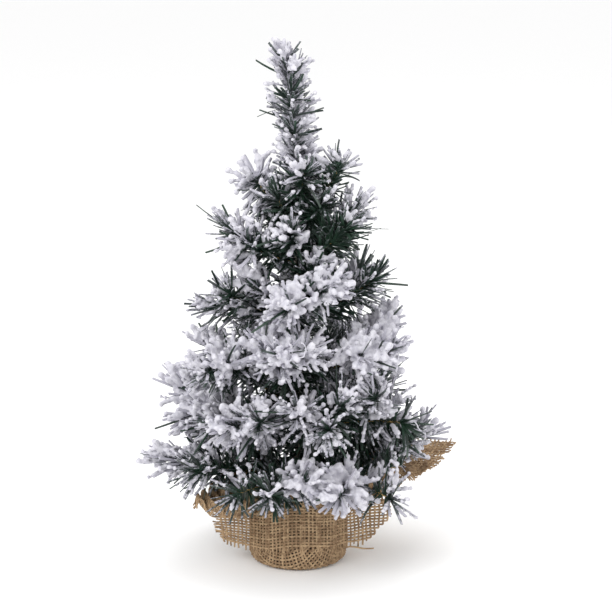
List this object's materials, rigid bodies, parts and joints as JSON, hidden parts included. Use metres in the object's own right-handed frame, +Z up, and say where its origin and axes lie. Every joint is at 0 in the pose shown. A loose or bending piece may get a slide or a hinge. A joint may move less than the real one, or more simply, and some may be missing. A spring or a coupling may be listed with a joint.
{
  "type": "artificial tabletop tree",
  "caption": "Flocked artificial tabletop tree with bendable wire branches on a cement weight wrapped in frayed burlap.",
  "frame": {"origin": "centre of the weight's underside, where the burlap rests on the table", "axes": "+Z up along the trunk, front towards -Y, the long burlap corner to the right (+X)"},
  "size_m": [0.1948, 0.1634, 0.3471],
  "materials": {
    "cement": "matte",
    "burlap": "matte",
    "trunk_wire": "satin",
    "branch_wire": "satin",
    "flocked_needles": "matte"
  },
  "bodies": {
    "root": {"cement_weight": "cement", "burlap_square": "burlap", "burlap_strip": "burlap", "trunk_wire_a": "trunk_wire", "trunk_wire_b": "trunk_wire"},
    "branch_1a": {"stem_1a": "branch_wire", "needles_1a": "flocked_needles"},
    "branch_1b": {"stem_1b": "branch_wire", "needles_1b": "flocked_needles"},
    "branch_1c": {"stem_1c": "branch_wire", "needles_1c": "flocked_needles"},
    "branch_1d": {"stem_1d": "branch_wire", "needles_1d": "flocked_needles"},
    "branch_1e": {"stem_1e": "branch_wire", "needles_1e": "flocked_needles"},
    "branch_1f": {"stem_1f": "branch_wire", "needles_1f": "flocked_needles"},
    "branch_2a": {"stem_2a": "branch_wire", "needles_2a": "flocked_needles"},
    "branch_2b": {"stem_2b": "branch_wire", "needles_2b": "flocked_needles"},
    "branch_2c": {"stem_2c": "branch_wire", "needles_2c": "flocked_needles"},
    "branch_2d": {"stem_2d": "branch_wire", "needles_2d": "flocked_needles"},
    "branch_2e": {"stem_2e": "branch_wire", "needles_2e": "flocked_needles"},
    "branch_2f": {"stem_2f": "branch_wire", "needles_2f": "flocked_needles"},
    "branch_3a": {"stem_3a": "branch_wire", "needles_3a": "flocked_needles"},
    "branch_3b": {"stem_3b": "branch_wire", "needles_3b": "flocked_needles"},
    "branch_3c": {"stem_3c": "branch_wire", "needles_3c": "flocked_needles"},
    "branch_3d": {"stem_3d": "branch_wire", "needles_3d": "flocked_needles"},
    "branch_3e": {"stem_3e": "branch_wire", "needles_3e": "flocked_needles"},
    "branch_4a": {"stem_4a": "branch_wire", "needles_4a": "flocked_needles"},
    "branch_4b": {"stem_4b": "branch_wire", "needles_4b": "flocked_needles"},
    "branch_4c": {"stem_4c": "branch_wire", "needles_4c": "flocked_needles"},
    "branch_4d": {"stem_4d": "branch_wire", "needles_4d": "flocked_needles"},
    "branch_5a": {"stem_5a": "branch_wire", "needles_5a": "flocked_needles"},
    "branch_5b": {"stem_5b": "branch_wire", "needles_5b": "flocked_needles"},
    "branch_5c": {"stem_5c": "branch_wire", "needles_5c": "flocked_needles"},
    "branch_6a": {"stem_6a": "branch_wire", "needles_6a": "flocked_needles"},
    "branch_6b": {"stem_6b": "branch_wire", "needles_6b": "flocked_needles"},
    "leader": {"stem_leader": "branch_wire", "needles_leader": "flocked_needles"}
  },
  "joints": [
    {"name": "bend_1a", "type": "hinge", "parent": "root", "child": "branch_1a", "pos_m": [-0.003, -0.00053, 0.0605], "axis": [-0.1736, 0.9848, 0], "range_deg": [-10, 13]},
    {"name": "bend_1b", "type": "hinge", "parent": "root", "child": "branch_1b", "pos_m": [-0.00074, -0.00296, 0.0605], "axis": [-0.9703, 0.2419, 0], "range_deg": [-10, 13]},
    {"name": "bend_1c", "type": "hinge", "parent": "root", "child": "branch_1c", "pos_m": [0.00234, -0.00196, 0.0605], "axis": [-0.6428, -0.766, 0], "range_deg": [-10, 13]},
    {"name": "bend_1d", "type": "hinge", "parent": "root", "child": "branch_1d", "pos_m": [0.00296, 0.00074, 0.0605], "axis": [0.2419, -0.9703, 0], "range_deg": [-10, 13]},
    {"name": "bend_1e", "type": "hinge", "parent": "root", "child": "branch_1e", "pos_m": [0.00084, 0.00293, 0.0605], "axis": [0.9613, -0.2756, 0], "range_deg": [-10, 13]},
    {"name": "bend_1f", "type": "hinge", "parent": "root", "child": "branch_1f", "pos_m": [-0.00204, 0.00227, 0.0605], "axis": [0.7431, 0.6691, 0], "range_deg": [-10, 13]},
    {"name": "bend_2a", "type": "hinge", "parent": "root", "child": "branch_2a", "pos_m": [-0.00297, 0.00069, 0.0935], "axis": [0.225, 0.9744, 0], "range_deg": [-12, 16]},
    {"name": "bend_2b", "type": "hinge", "parent": "root", "child": "branch_2b", "pos_m": [-0.00212, -0.00219, 0.0935], "axis": [-0.7193, 0.6947, 0], "range_deg": [-12, 16]},
    {"name": "bend_2c", "type": "hinge", "parent": "root", "child": "branch_2c", "pos_m": [0.00094, -0.0029, 0.0935], "axis": [-0.9511, -0.309, 0], "range_deg": [-12, 16]},
    {"name": "bend_2d", "type": "hinge", "parent": "root", "child": "branch_2d", "pos_m": [0.00293, -0.00084, 0.0935], "axis": [-0.2756, -0.9613, 0], "range_deg": [-12, 16]},
    {"name": "bend_2e", "type": "hinge", "parent": "root", "child": "branch_2e", "pos_m": [0.00219, 0.00212, 0.0935], "axis": [0.6947, -0.7193, 0], "range_deg": [-12, 16]},
    {"name": "bend_2f", "type": "hinge", "parent": "root", "child": "branch_2f", "pos_m": [-0.00074, 0.00296, 0.0935], "axis": [0.9703, 0.2419, 0], "range_deg": [-12, 16]},
    {"name": "bend_3a", "type": "hinge", "parent": "root", "child": "branch_3a", "pos_m": [-0.00293, -0.00084, 0.1305], "axis": [-0.2756, 0.9613, 0], "range_deg": [-15, 18]},
    {"name": "bend_3b", "type": "hinge", "parent": "root", "child": "branch_3b", "pos_m": [-0.00084, -0.00293, 0.1305], "axis": [-0.9613, 0.2756, 0], "range_deg": [-15, 18]},
    {"name": "bend_3c", "type": "hinge", "parent": "root", "child": "branch_3c", "pos_m": [0.00279, -0.00124, 0.1305], "axis": [-0.4067, -0.9135, 0], "range_deg": [-15, 18]},
    {"name": "bend_3d", "type": "hinge", "parent": "root", "child": "branch_3d", "pos_m": [0.00188, 0.0024, 0.1305], "axis": [0.788, -0.6157, 0], "range_deg": [-15, 18]},
    {"name": "bend_3e", "type": "hinge", "parent": "root", "child": "branch_3e", "pos_m": [-0.00179, 0.00247, 0.1305], "axis": [0.809, 0.5878, 0], "range_deg": [-15, 18]},
    {"name": "bend_4a", "type": "hinge", "parent": "root", "child": "branch_4a", "pos_m": [-0.00305, 0.00011, 0.1695], "axis": [0.0349, 0.9994, 0], "range_deg": [-15, 18]},
    {"name": "bend_4b", "type": "hinge", "parent": "root", "child": "branch_4b", "pos_m": [-0.00032, -0.00303, 0.1695], "axis": [-0.9945, 0.1045, 0], "range_deg": [-15, 18]},
    {"name": "bend_4c", "type": "hinge", "parent": "root", "child": "branch_4c", "pos_m": [0.00302, -0.00042, 0.1695], "axis": [-0.1392, -0.9903, 0], "range_deg": [-15, 18]},
    {"name": "bend_4d", "type": "hinge", "parent": "root", "child": "branch_4d", "pos_m": [0.00021, 0.00304, 0.1695], "axis": [0.9976, -0.0698, 0], "range_deg": [-15, 18]},
    {"name": "bend_5a", "type": "hinge", "parent": "root", "child": "branch_5a", "pos_m": [-0.0029, -0.00094, 0.2075], "axis": [-0.309, 0.9511, 0], "range_deg": [-15, 18]},
    {"name": "bend_5b", "type": "hinge", "parent": "root", "child": "branch_5b", "pos_m": [0.00227, -0.00204, 0.2075], "axis": [-0.6691, -0.7431, 0], "range_deg": [-15, 18]},
    {"name": "bend_5c", "type": "hinge", "parent": "root", "child": "branch_5c", "pos_m": [0.00104, 0.00287, 0.2075], "axis": [0.9397, -0.342, 0], "range_deg": [-15, 18]},
    {"name": "bend_6a", "type": "hinge", "parent": "root", "child": "branch_6a", "pos_m": [-0.00287, 0.00104, 0.2415], "axis": [0.342, 0.9397, 0], "range_deg": [-15, 18]},
    {"name": "bend_6b", "type": "hinge", "parent": "root", "child": "branch_6b", "pos_m": [0.0029, -0.00094, 0.2415], "axis": [-0.309, -0.9511, 0], "range_deg": [-15, 18]},
    {"name": "bend_leader", "type": "hinge", "parent": "root", "child": "leader", "pos_m": [0, 0, 0.2518], "axis": [0, -1, 0], "range_deg": [-20, 20]}
  ]
}
